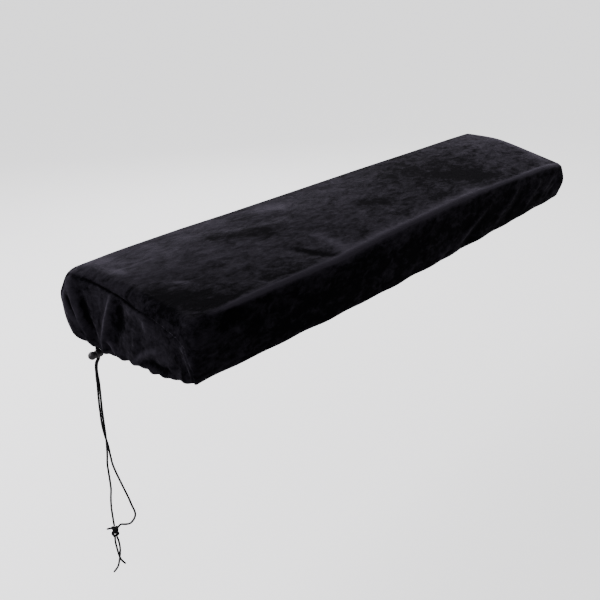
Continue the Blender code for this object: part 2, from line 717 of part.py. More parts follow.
def add_drawcord(near_panel, cord_black, lock_black):
    """The lock and the cords, each in a frame at the lock's middle: X to the side, Y away, Z up."""
    add_lock(add_frame("lock", LOCK_TURN), lock_black)
    hang = add_frame("drawcord", CORD_TURN)
    turn = Matrix.Rotation(CORD_TURN, 3, "Z")
    for name, route in (("strand_right", STRAND_RIGHT), ("strand_left", STRAND_LEFT)):
        side, front, _ = route[0]
        start = hang.location + turn @ Vector((side, -front, 0)) / 1000
        rim = [2 * pi * step / RIM_RAYS for step in range(RIM_RAYS)]
        spots = [start + Vector((cos(angle), sin(angle), 0)) * CORD / 2 for angle in rim]
        hem = min(near_panel.ray_cast(spot, Vector((0, 0, 1)))[1].z for spot in spots)
        climb = 1000 * (hem - LOCK_Z - HEM_TOUCH)
        add_cord(name, ((side, front, -climb), *route), cord_black, hang)
    add_cord("tail_right", TAIL_RIGHT, cord_black, hang)
    add_cord("tail_left", TAIL_LEFT, cord_black, hang)
    add_cord("knot_tab", KNOT_TAB, cord_black, hang)
    add_knot(cord_black, hang)


def clear_scene():
    for item in list(bpy.data.objects):
        bpy.data.objects.remove(item, do_unlink=True)


def main():
    clear_scene()
    velvet = plain_material("velvet", (0.018, 0.017, 0.024), 0.95)
    cord_black = plain_material("cord", (0.012, 0.012, 0.013), 0.85)
    lock_black = plain_material("lock", (0.020, 0.020, 0.022), 0.35)
    add_panel("main_panel", *main_grid(), velvet)
    near_panel = add_panel("near_panel", *end_grid(-1, NEAR_ROWS, NEAR_FAN, NEAR_COLUMNS), velvet)
    add_panel("far_panel", *end_grid(1, FAR_ROWS, FAR_FAN, FAR_COLUMNS), velvet)
    add_drawcord(near_panel, cord_black, lock_black)


main()
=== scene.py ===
from math import cos, exp, pi, radians, sin, sqrt

import bmesh
import bpy
import numpy as np
from mathutils import Matrix, Vector


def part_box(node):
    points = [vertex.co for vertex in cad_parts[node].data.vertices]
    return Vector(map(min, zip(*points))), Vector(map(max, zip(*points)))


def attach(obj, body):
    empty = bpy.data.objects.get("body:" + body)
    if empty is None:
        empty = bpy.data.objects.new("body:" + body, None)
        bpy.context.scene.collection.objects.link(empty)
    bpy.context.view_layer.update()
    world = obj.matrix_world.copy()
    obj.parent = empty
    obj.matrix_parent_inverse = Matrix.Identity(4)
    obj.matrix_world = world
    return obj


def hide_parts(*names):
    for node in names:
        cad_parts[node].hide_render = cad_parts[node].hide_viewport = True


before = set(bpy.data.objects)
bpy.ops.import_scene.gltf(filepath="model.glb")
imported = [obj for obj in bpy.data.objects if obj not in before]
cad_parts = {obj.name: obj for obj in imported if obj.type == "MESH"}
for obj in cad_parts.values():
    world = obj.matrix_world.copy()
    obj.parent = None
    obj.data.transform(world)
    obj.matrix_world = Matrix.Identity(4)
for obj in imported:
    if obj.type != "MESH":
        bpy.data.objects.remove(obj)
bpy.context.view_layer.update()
scene = bpy.context.scene


# camera, floor and light

camera = {
    "place": (-1.4659, -0.9631, 0.4880),
    "down": 22.695,  # degrees
    "turn": 38.308,
    "lens": 51.0,
    "sensor": 36.0,
}
floor = {"height": -0.66, "size": 60.0, "colour": (0.85, 0.85, 0.86), "glow": 1.5}
lamps = {
    # place, aim, size, watts, colour
    "sky": ((-0.9, 1.7, 1.5), (-0.2, 0.0, 0.0), 1.6, 58.0, (1.0, 0.98, 1.0)),
    "side": ((-2.4, 0.7, 0.5), (-0.6, 0.0, -0.05), 1.0, 14.0, (0.98, 0.96, 1.0)),
    "far": ((1.6, 1.9, 1.2), (0.4, 0.0, 0.0), 1.6, 34.0, (1.0, 0.98, 1.0)),
}
sky = {"colour": (1.0, 0.98, 1.0), "strength": 0.5}


def linkObject(name, data):
    item = bpy.data.objects.new(name, data)
    scene.collection.objects.link(item)
    return item


def addCamera():
    data = bpy.data.cameras.new("camera")
    data.lens = camera["lens"]
    data.sensor_width = camera["sensor"]
    item = linkObject("camera", data)
    item.location = camera["place"]
    item.rotation_euler = (pi / 2 - radians(camera["down"]), 0, radians(camera["turn"]) - pi / 2)
    scene.camera = item


def addLamps():
    for name, (place, aim, size, watts, colour) in lamps.items():
        data = bpy.data.lights.new(name, "AREA")
        data.size = size
        data.energy = watts
        data.color = colour
        item = linkObject(name, data)
        item.location = place
        item.rotation_euler = (Vector(aim) - Vector(place)).to_track_quat("-Z", "Y").to_euler()
    world = bpy.data.worlds.new("studio")
    world.use_nodes = True
    shade = world.node_tree.nodes["Background"]
    shade.inputs["Color"].default_value = (*sky["colour"], 1)
    shade.inputs["Strength"].default_value = sky["strength"]
    scene.world = world


def addFloor():
    mesh = bmesh.new()
    bmesh.ops.create_grid(mesh, x_segments=1, y_segments=1, size=floor["size"] / 2)
    bmesh.ops.translate(mesh, verts=mesh.verts[:], vec=(0, 0, floor["height"]))
    data = bpy.data.meshes.new("floor")
    mesh.to_mesh(data)
    mesh.free()
    look = bpy.data.materials.new("paleFloor")
    look.use_nodes = True
    shader = look.node_tree.nodes["Principled BSDF"]
    shader.inputs["Base Color"].default_value = (*floor["colour"], 1)
    shader.inputs["Roughness"].default_value = 0.9
    shader.inputs["Specular IOR Level"].default_value = 0.1
    shader.inputs["Emission Color"].default_value = (*floor["colour"], 1)
    shader.inputs["Emission Strength"].default_value = floor["glow"]
    data.materials.append(look)
    item = linkObject("floor", data)
    item.visible_diffuse = False  # pale to look at, and throws no light back
    item.visible_glossy = False


# materials

class Wire:
    # a socket that can be added, multiplied and so on

    def __init__(self, tree, socket):
        self.tree = tree
        self.socket = socket

    def sums(self, operation, *values):
        return addNode(self.tree, "ShaderNodeMath", {"operation": operation}, dict(enumerate(values)))

    def __add__(self, other):
        return self.sums("ADD", self, other)

    def __radd__(self, other):
        return self.sums("ADD", other, self)

    def __sub__(self, other):
        return self.sums("SUBTRACT", self, other)

    def __rsub__(self, other):
        return self.sums("SUBTRACT", other, self)

    def __mul__(self, other):
        return self.sums("MULTIPLY", self, other)

    def __rmul__(self, other):
        return self.sums("MULTIPLY", other, self)


def addNode(tree, kind, settings=None, values=None, output=0):
    # settings first, then a value or a link for each socket; gives one output back
    node = tree.nodes.new(kind)
    for key, value in (settings or {}).items():
        if key == "stops":
            ramp = node.color_ramp.elements
            while len(ramp) < len(value):
                ramp.new(1.0)
            for stop, (place, shade) in zip(ramp, value):
                stop.position = place
                stop.color = (*shade, 1) if isinstance(shade, tuple) else (shade, shade, shade, 1)
        else:
            setattr(node, key, value)
    for key, value in (values or {}).items():
        if isinstance(value, Wire):
            tree.links.new(value.socket, node.inputs[key])
        elif isinstance(value, tuple) and node.inputs[key].type == "RGBA":
            node.inputs[key].default_value = (*value, 1)
        else:
            node.inputs[key].default_value = value
    return Wire(tree, node.outputs[output])


def newMaterial(name, **constants):
    material = bpy.data.materials.new(name)
    material.use_nodes = True
    tree = material.node_tree
    shader = tree.nodes["Principled BSDF"]
    for key, value in constants.items():
        socket = shader.inputs[key.replace("_", " ")]
        socket.default_value = (*value, 1) if isinstance(value, tuple) else value
    return material, tree, shader


def noise(tree, where, scale, detail=2.0, rough=0.5, distortion=0.0):
    values = {"Vector": where, "Scale": scale, "Detail": detail, "Roughness": rough, "Distortion": distortion}
    return addNode(tree, "ShaderNodeTexNoise", None, values)


def ramp(tree, factor, *stops):
    return addNode(tree, "ShaderNodeValToRGB", {"stops": stops}, {0: factor})


def clamped(tree, value):
    return addNode(tree, "ShaderNodeClamp", None, {0: value})


velvet = {
    "dark": {"base": (0.0010, 0.0009, 0.0015), "sheen": 0.03},
    "light": {"base": (0.0260, 0.0235, 0.0315), "sheen": 0.27},
    "rough": 0.92,
    "sheenRough": 0.34,
    "sheenTint": (0.68, 0.63, 0.79),
    "mottle": 46.0,  # patches per metre, along Z and Y; fewer along X
    "pile": 620.0,
    "contrast": 2.5,
    "lightShare": 0.30,
}


def velvetMaterial():
    # dark pile and light pile, mixed in patches and streaks and by the painted highlights and painted shade
    # of the marks
    material, tree, shader = newMaterial("velvetPile")
    place = addNode(tree, "ShaderNodeTexCoord", output="Object")
    long = addNode(tree, "ShaderNodeMapping", None, {"Vector": place, "Scale": (0.50, 1.0, 1.0)})
    patches = noise(tree, long, velvet["mottle"], 3.0, 0.6, 0.8)
    streaks = noise(tree, long, 3.2 * velvet["mottle"], 4.0, 0.7, 0.5)
    grain = noise(tree, place, velvet["pile"], 2.0, 0.6)
    # the attribute read here holds painted highlights and painted shade from the marks, with some lighter and
    # darker pile
    brushed = addNode(tree, "ShaderNodeAttribute", {"attribute_name": "brushed"}, output="Fac")
    mixed = 0.48 * patches + 0.38 * streaks + 0.14 * grain
    # mix factor: random pile tone, raised by painted highlights and lowered by painted shade
    mottleAndPaintedLight = (mixed - 0.5) * velvet["contrast"] + velvet["lightShare"] + brushed
    relief = 0.55 * grain + 0.45 * noise(tree, place, velvet["pile"] * 0.32, 2.0, 0.5)
    bump = addNode(
        tree, "ShaderNodeBump", None, {"Strength": 0.55, "Distance": 0.0010, "Height": relief + patches * 2.2}
    )
    piles = []
    for name in ("dark", "light"):
        pile = velvet[name]
        values = {
            "Base Color": pile["base"],
            "Roughness": velvet["rough"],
            "Specular IOR Level": 0.02,
            "Sheen Weight": pile["sheen"],
            "Sheen Roughness": velvet["sheenRough"],
            "Sheen Tint": velvet["sheenTint"],
            "Normal": bump,
        }
        piles.append(addNode(tree, "ShaderNodeBsdfPrincipled", None, values))
    look = addNode(tree, "ShaderNodeMixShader", None, {0: clamped(tree, mottleAndPaintedLight), 1: piles[0], 2: piles[1]})
    tree.links.new(look.socket, tree.nodes["Material Output"].inputs["Surface"])
    tree.nodes.remove(shader)
    return material


def cordMaterial():
    material, tree, shader = newMaterial(
        "braidedCord", Roughness=0.75, Sheen_Weight=0.04, Sheen_Roughness=0.5, Specular_IOR_Level=0.12
    )
    place = addNode(tree, "ShaderNodeTexCoord", output="Object")
    fibres = noise(tree, place, 2600.0, 2.0, 0.6)
    colour = ramp(tree, fibres, (0.30, (0.0020, 0.0020, 0.0024)), (0.72, (0.0085, 0.0085, 0.0098)))
    tree.links.new(colour.socket, shader.inputs["Base Color"])
    bump = addNode(tree, "ShaderNodeBump", None, {"Strength": 0.4, "Distance": 0.0002, "Height": fibres})
    tree.links.new(bump.socket, shader.inputs["Normal"])
    return material


def lockMaterial():
    material, tree, shader = newMaterial("mouldedPlastic", Specular_IOR_Level=0.5)
    place = addNode(tree, "ShaderNodeTexCoord", output="Object")
    grain = noise(tree, place, 1800.0, 2.0, 0.5)
    cloud = noise(tree, place, 90.0, 3.0, 0.5)
    colour = ramp(tree, cloud, (0.30, (0.010, 0.010, 0.011)), (0.75, (0.022, 0.022, 0.025)))
    tree.links.new(colour.socket, shader.inputs["Base Color"])
    gloss = 0.22 + grain * 0.16
    tree.links.new(gloss.socket, shader.inputs["Roughness"])
    bump = addNode(tree, "ShaderNodeBump", None, {"Strength": 0.12, "Distance": 0.0001, "Height": grain})
    tree.links.new(bump.socket, shader.inputs["Normal"])
    return material


# cords

hang = {"place": (-0.6745, 0.0925, -0.1425), "turn": -54.0}  # the lock's middle
cord = {
    "width": 0.0036,
    "step": 0.0008,
    "sides": 20,
    "relief": 0.055,  # of the plaits, as a share of the radius
    "pitch": 0.0052,
    "plaits": 4,
    "curveSteps": 24,
    "intoHem": 2.5,  # millimetres
}
routes = {
    # side, front and down from the lock's middle, in millimetres
    "strand_right": (
        (1.19, -1.42, 0.0), (1.19, -1.42, 8.0), (0.4, -1.42, 11.0), (-1.5, -1.45, 14.5), (-3.25, -1.6, 19.0),
        (-4.3, -1.75, 25.0), (-4.8, -1.8, 33.0), (-4.2, -1.7, 45.0), (-3.2, -1.5, 58.0), (-3.0, -1.2, 87.0),
        (-2.9, -1.3, 110.0), (-2.3, -1.7, 134.0), (-1.7, -2.1, 155.0), (-1.3, -1.8, 178.0),
        (-1.9, -1.0, 198.0), (-3.2, -0.4, 217.0), (-2.4, 0.0, 234.0), (-1.5, 0.2, 252.0),
        (-1.1, 0.2, 270.0), (-2.9, 0.2, 289.0),
        (-3.9, 0.1, 308.0), (-3.3, 0.0, 329.0), (-2.0, 0.0, 351.0),
    ),
    "strand_left": (
        (-1.19, 1.42, 0.0), (-1.19, 1.42, 8.0), (-2.0, 1.42, 11.0), (-3.75, 1.55, 14.5), (-4.95, 1.7, 19.0),
        (-5.5, 1.8, 25.0), (-5.6, 1.85, 33.0), (-5.9, 1.7, 45.0), (-5.7, 1.5, 58.0), (-6.3, 1.2, 87.0),
        (-5.9, 1.3, 110.0), (-4.9, 1.8, 134.0), (-2.2, 2.3, 154.0), (2.0, 2.1, 176.0), (3.9, 1.2, 196.0),
        (6.2, 0.6, 216.0), (10.3, 0.2, 232.0), (16.2, 0.0, 250.5), (22.8, 0.0, 269.5), (29.4, 0.2, 288.5),
        (34.6, 0.4, 306.0), (38.0, 0.4, 316.0), (38.7, 0.4, 325.0), (34.8, 0.4, 335.5), (27.8, 0.4, 343.8),
        (19.0, 0.3, 346.2), (10.3, 0.1, 347.0), (4.6, 0.0, 353.5), (1.2, 0.0, 357.0),
    ),
    "tail_right": (
        (1.1, 0.3, 374.0), (3.8, 0.9, 385.0), (5.0, 1.3, 399.0), (3.7, 2.0, 415.5), (0.1, 1.8, 434.0),
        (-3.3, 0.8, 444.0), (-11.4, 0.0, 456.8),
    ),
    "tail_left": (
        (-2.8, 0.0, 374.0), (-3.1, -0.4, 384.0), (-2.7, -0.9, 393.0), (-0.8, -1.7, 409.0), (1.2, -2.0, 420.5),
        (4.6, -1.5, 429.0), (12.2, -0.8, 437.0),
    ),
    "knot_tab": ((-7.9, 0.0, 357.0), (-11.0, 0.4, 356.6), (-16.3, 0.8, 358.2)),
}


def fromLock(places):
    # places in metres from the lock's middle (side, away, up), taken to the object's own frame
    turn = np.array(Matrix.Rotation(radians(hang["turn"]), 3, "Z"))
    return np.asarray(places, float) @ turn.T + np.array(hang["place"])


def smoothRoute(route, step):
    stops = np.array([(side, -front, -down) for side, front, down in route]) / 1000
    padded = np.vstack([2 * stops[0] - stops[1], stops, 2 * stops[-1] - stops[-2]])
    fine = []
    for a, b, c, d in zip(padded[:-3], padded[1:-2], padded[2:-1], padded[3:]):
        for part in np.linspace(0, 1, cord["curveSteps"], endpoint=False):
            bend = 2 * b + (c - a) * part + (2 * a - 5 * b + 4 * c - d) * part**2
            fine.append((bend + (3 * b - a - 3 * c + d) * part**3) / 2)
    fine = np.array([*fine, stops[-1]])
    runs = np.concatenate([[0], np.cumsum(np.linalg.norm(np.diff(fine, axis=0), axis=1))])
    spots = np.linspace(0, runs[-1], round(runs[-1] / step) + 1)
    return np.array([np.interp(spots, runs, fine[:, axis]) for axis in range(3)]).T, runs[-1]


def tubeAlong(name, line, radius, sides, surface, material):
    # a grid rolled round a line, each ring turned as little as it can be; surface gives each point's height
    ahead = np.gradient(line, axis=0)
    ahead /= np.linalg.norm(ahead, axis=1)[:, None]
    across = Vector(ahead[0]).orthogonal().normalized()
    rings = []
    mesh = bmesh.new()
    bmesh.ops.create_grid(mesh, x_segments=len(line) - 1, y_segments=sides, size=1.0)
    mesh.verts.ensure_lookup_table()
    order = sorted(mesh.verts, key=lambda vert: (round(vert.co.x, 6), round(vert.co.y, 6)))
    for index, (place, way) in enumerate(zip(line, ahead)):
        way = Vector(way)
        across = (across - way * across.dot(way)).normalized()
        up = way.cross(across)
        for side in range(sides + 1):
            angle = 2 * pi * side / sides
            out = across * cos(angle) + up * sin(angle)
            rings.append(Vector(place) + out * radius * surface(index, angle))
    for vert, place in zip(order, rings):
        vert.co = place
    bmesh.ops.remove_doubles(mesh, verts=mesh.verts[:], dist=1e-6)
    rims = [edge for edge in mesh.edges if len(edge.link_faces) == 1]
    bmesh.ops.holes_fill(mesh, edges=rims, sides=0)
    bmesh.ops.recalc_face_normals(mesh, faces=mesh.faces[:])
    return addMesh(name, mesh, material)


def addMesh(name, mesh, material):
    data = bpy.data.meshes.new(name)
    mesh.to_mesh(data)
    mesh.free()
    data.shade_smooth()
    data.materials.append(material)
    return linkObject(name, data)


def addCord(name, route, material, end):
    line, length = smoothRoute(route, cord["step"])
    line = fromLock(line)
    turns = 2 * pi * cord["step"] / cord["pitch"]

    def braid(index, angle):
        rise = turns * index
        plait = sin(cord["plaits"] * angle + rise) * sin(cord["plaits"] * angle - rise)
        closed = min(index, len(line) - 1 - index, 3) / 3
        return (1 + cord["relief"] * plait) * (0.72 + 0.28 * sqrt(closed))

    piece = tubeAlong(name + "_braid", line, cord["width"] / 2, cord["sides"], braid, material)
    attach(piece, "cover")
    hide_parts(name)
    print("cord", name, round(length, 4), "m")
    return piece, line, length, end


def addCords(material):
    made = {}
    for name, route in routes.items():
        route = list(route)
        if name.startswith("strand"):
            climb = 1000 * (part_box(name)[1][2] - hang["place"][2]) + cord["intoHem"]
            route.insert(0, (route[0][0], route[0][1], -climb))
        made[name] = addCord(name, route, material, "knot" if name.startswith("strand") else "bare")
    return made


addCamera()
addLamps()
addFloor()
cordLook = cordMaterial()
cords = addCords(cordLook)
print("camera, stage and cords made")


# knot

knot = {
    "centre": (-1.4, 0.0, -362.5),  # millimetres from the lock's middle
    "half": (5.6, 4.3, 10.6),
    "width": 0.0037,
    "points": 150,
    "sides": 16,
    "relief": 0.05,
    "closing": 0.985,  # how much of its round each loop makes
    "loops": (("knot_first", 0.0, 0.0), ("knot_second", 2.2, 0.9)),  # turn, shift
}


def addKnot(material):
    # two loops, each with three crossings, one inside the other
    made = []
    for name, turn, shift in knot["loops"]:
        line = []
        for index in range(knot["points"]):
            t = 2 * pi * index / (knot["points"] - 1) * knot["closing"]
            x = (sin(t) + 2 * sin(2 * t)) / 3
            y = (cos(t) - 2 * cos(2 * t)) / 3
            z = -sin(3 * t)
            spot = Matrix.Rotation(turn, 3, "Z") @ Vector((x, z * 0.9, y))
            half = knot["half"]
            line.append((spot.x * half[0], spot.y * half[1], spot.z * half[2] + shift))
        line = fromLock((np.array(line) + np.array(knot["centre"])) / 1000)

        def plain(index, angle):
            return 1 + knot["relief"] * sin(4 * angle + 0.9 * index) * sin(4 * angle - 0.9 * index)

        made.append(tubeAlong(name, line, knot["width"] / 2, knot["sides"], plain, material))
    for piece in made:
        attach(piece, "cover")
        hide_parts("knot")
    return made


knots = addKnot(cordLook)
tab = cords["knot_tab"][0]
for name, (piece, line, length, end) in cords.items():
    if name != "knot_tab":
        extra = [*knots, tab] if name == "strand_right" else []
print("knot made")

# the cover's shape: a level box with soft edges, swelled, folded and gathered, then sloped down to the front

cover = {
    "length": 1.360,
    "width": 0.286,
    "height": 0.130,
    "cloth": 0.002,
    "tuck": 0.021,  # how far the hem turns in
    "tunnelShare": 0.67,
    "tunnelSwell": 0.0028,
    "bottomRadius": 0.011,
    "frontRadius": 0.011,
    "backRadius": 0.017,
    "cornerSoftening": 0.010,
    "cornerReach": 0.055,
    "billow": 0.0035,
    "hemDrawnIn": 0.0035,
    "ridgeY": 0.040,
    "ridgeSoftness": 0.16,
    "shareSoftness": 0.003,
    "farHemDrop": 0.008,
    "exitY": 0.0925,  # where the cords leave the hem
    "exitReach": 0.020,
    "exitTuck": 0.012,
    "seamInset": 0.006,
    "seamSpread": 0.030,
    "grooveDepth": 0.0022,
    "grooveWidth": 0.0021,
    "grooveLip": 0.0004,
    "lipPlace": 0.0055,
    "lipWidth": 0.0035,
}
topSections = np.array([
    # x, front, back
    (-0.690, 0.105, 0.1300),
    (-0.560, 0.105, 0.1315),
    (-0.430, 0.103, 0.1325),
    (-0.310, 0.100, 0.1315),
    (-0.110, 0.106, 0.1315),
    (0.150, 0.109, 0.1320),
    (0.370, 0.102, 0.1310),
    (0.580, 0.092, 0.1310),
    (0.690, 0.080, 0.1295),
])
nearHem = np.array([
    # y, drop
    (-0.143, 0.003), (-0.118, 0.007), (-0.094, 0.010), (-0.058, 0.015), (-0.028, 0.013), (0.010, 0.013),
    (0.045, 0.013), (0.072, 0.015), (0.090, 0.012), (0.114, 0.006), (0.143, 0.002),
])
longHem = np.array([
    # x, drop
    (-0.680, 0.003), (-0.550, 0.007), (-0.420, 0.011), (-0.280, 0.015), (-0.110, 0.017), (0.080, 0.016),
    (0.300, 0.013), (0.500, 0.010), (0.680, 0.007),
])
bulges = (
    # x, y, z, out, reach
    (-0.680, 0.143, 0.092, 0.0150, 0.042),
    (-0.680, 0.143, 0.034, 0.0110, 0.042),
    (0.680, -0.143, 0.044, 0.0080, 0.045),
    (0.680, 0.143, 0.060, 0.0060, 0.050),
)
nearSeam = np.array([
    # y, height
    (-0.126, 0.0600), (-0.108, 0.0710), (-0.086, 0.0790), (-0.065, 0.0860), (-0.045, 0.0910),
    (-0.023, 0.0960), (0.004, 0.1030), (0.033, 0.1090), (0.060, 0.1125), (0.086, 0.1150), (0.110, 0.1160),
    (0.134, 0.1140),
])
farSeam = np.array([
    # y, height
    (-0.126, 0.0560), (-0.100, 0.0710), (-0.060, 0.0860), (-0.020, 0.0980), (0.020, 0.1080), (0.060, 0.1140),
    (0.100, 0.1150), (0.134, 0.1130),
])
gathers = {
    # length of a wave, share, phase
    "ends": ((0.024, 0.55, 0.4), (0.037, 0.45, 2.1)),
    "sides": ((0.118, 0.60, 1.0), (0.187, 0.40, 0.2)),
    "endHeight": 0.0022,
    "sideHeight": 0.0014,
    "reach": 0.028,
}

# main folds: rise, width and the line that each follows, as (along, up), or (along, across) on the top
folds = {
    "near": (
        (0.0030, 0.0050, (
            (0.129, 0.113), (0.123, 0.100), (0.117, 0.079), (0.113, 0.055), (0.108, 0.038), (0.098, 0.022),
            (0.084, 0.006),
        )),
        (0.0024, 0.0050, ((0.138, 0.095), (0.135, 0.074), (0.129, 0.057), (0.118, 0.038))),
        (-0.0028, 0.0045, ((0.130, 0.088), (0.125, 0.064), (0.118, 0.046))),
        (0.0018, 0.0038, ((0.120, 0.032), (0.106, 0.018), (0.093, 0.006))),
        (-0.0055, 0.0095, ((0.109, 0.106), (0.103, 0.080), (0.096, 0.050), (0.083, 0.016))),
        (0.0056, 0.0060, ((0.030, 0.107), (0.040, 0.082), (0.053, 0.052), (0.063, 0.028), (0.069, 0.003))),
        (-0.0050, 0.0120, ((0.020, 0.098), (0.018, 0.070), (0.029, 0.044), (0.045, 0.022))),
        (0.0030, 0.0040, ((0.058, 0.030), (0.047, 0.021), (0.041, 0.010), (0.037, 0.000))),
        (-0.0028, 0.0045, ((0.059, 0.019), (0.052, 0.003))),
        (0.0040, 0.0085, ((-0.002, 0.087), (-0.025, 0.090), (-0.044, 0.084), (-0.046, 0.066))),
        (0.0026, 0.0060, ((-0.018, 0.052), (-0.009, 0.026), (-0.003, 0.002))),
        (0.0028, 0.0055, ((0.000, 0.002), (-0.028, 0.024), (-0.051, 0.036), (-0.074, 0.039))),
        (-0.0030, 0.0055, ((-0.018, 0.006), (-0.038, 0.018), (-0.063, 0.018), (-0.092, 0.014))),
        (0.0020, 0.0060, ((-0.036, 0.003), (-0.058, 0.008), (-0.084, 0.004))),
        (0.0026, 0.0042, ((-0.119, 0.066), (-0.127, 0.054), (-0.134, 0.034), (-0.139, 0.014))),
        (-0.0026, 0.0042, ((-0.113, 0.050), (-0.121, 0.034), (-0.128, 0.014))),
    ),
    "front": (
        (0.0032, 0.0120, ((0.086, 0.002), (0.175, 0.039), (0.250, 0.066), (0.290, 0.084))),
        (-0.0034, 0.0150, ((0.140, 0.000), (0.200, 0.027), (0.262, 0.052))),
        (0.0024, 0.0090, ((0.034, 0.004), (0.089, 0.027), (0.130, 0.046))),
        (0.0018, 0.0090, ((-0.019, 0.010), (-0.013, 0.034), (-0.003, 0.062))),
        (0.0030, 0.0120, ((0.290, 0.022), (0.364, 0.052), (0.410, 0.078))),
        (-0.0026, 0.0120, ((0.350, 0.016), (0.410, 0.044), (0.450, 0.070))),
        (0.0028, 0.0110, ((0.450, 0.018), (0.498, 0.044), (0.545, 0.070))),
        (0.0028, 0.0100, ((0.535, 0.020), (0.585, 0.048), (0.625, 0.070))),
        (-0.0026, 0.0090, ((0.590, 0.014), (0.630, 0.036), (0.655, 0.058))),
        (0.0016, 0.0070, ((-0.187, 0.024), (-0.183, 0.004))),
    ),
    "top": (
        (-0.0020, 0.0160, ((-0.420, 0.082), (-0.350, 0.060), (-0.290, 0.045), (-0.220, 0.047))),
        (-0.0016, 0.0110, ((-0.372, -0.052), (-0.352, -0.086), (-0.320, -0.132))),
        (0.0014, 0.0200, ((-0.664, 0.052), (-0.620, 0.020), (-0.560, 0.004))),
    ),
    "back": (
        (0.0028, 0.0150, ((-0.560, 0.008), (-0.470, 0.044), (-0.400, 0.090))),
        (-0.0026, 0.0160, ((-0.250, 0.010), (-0.170, 0.046), (-0.110, 0.090))),
        (0.0028, 0.0150, ((0.180, 0.010), (0.240, 0.046), (0.280, 0.088))),
        (-0.0026, 0.0150, ((0.440, 0.010), (0.510, 0.046), (0.560, 0.090))),
    ),
    "far": (
        (0.0030, 0.0090, ((0.080, 0.004), (0.070, 0.044), (0.088, 0.090))),
        (-0.0032, 0.0100, ((0.040, 0.006), (0.020, 0.044), (0.000, 0.088))),
        (0.0028, 0.0090, ((-0.030, 0.004), (-0.062, 0.036), (-0.090, 0.064))),
    ),
}
foldEnds = {"fade": 0.22, "least": 0.25}
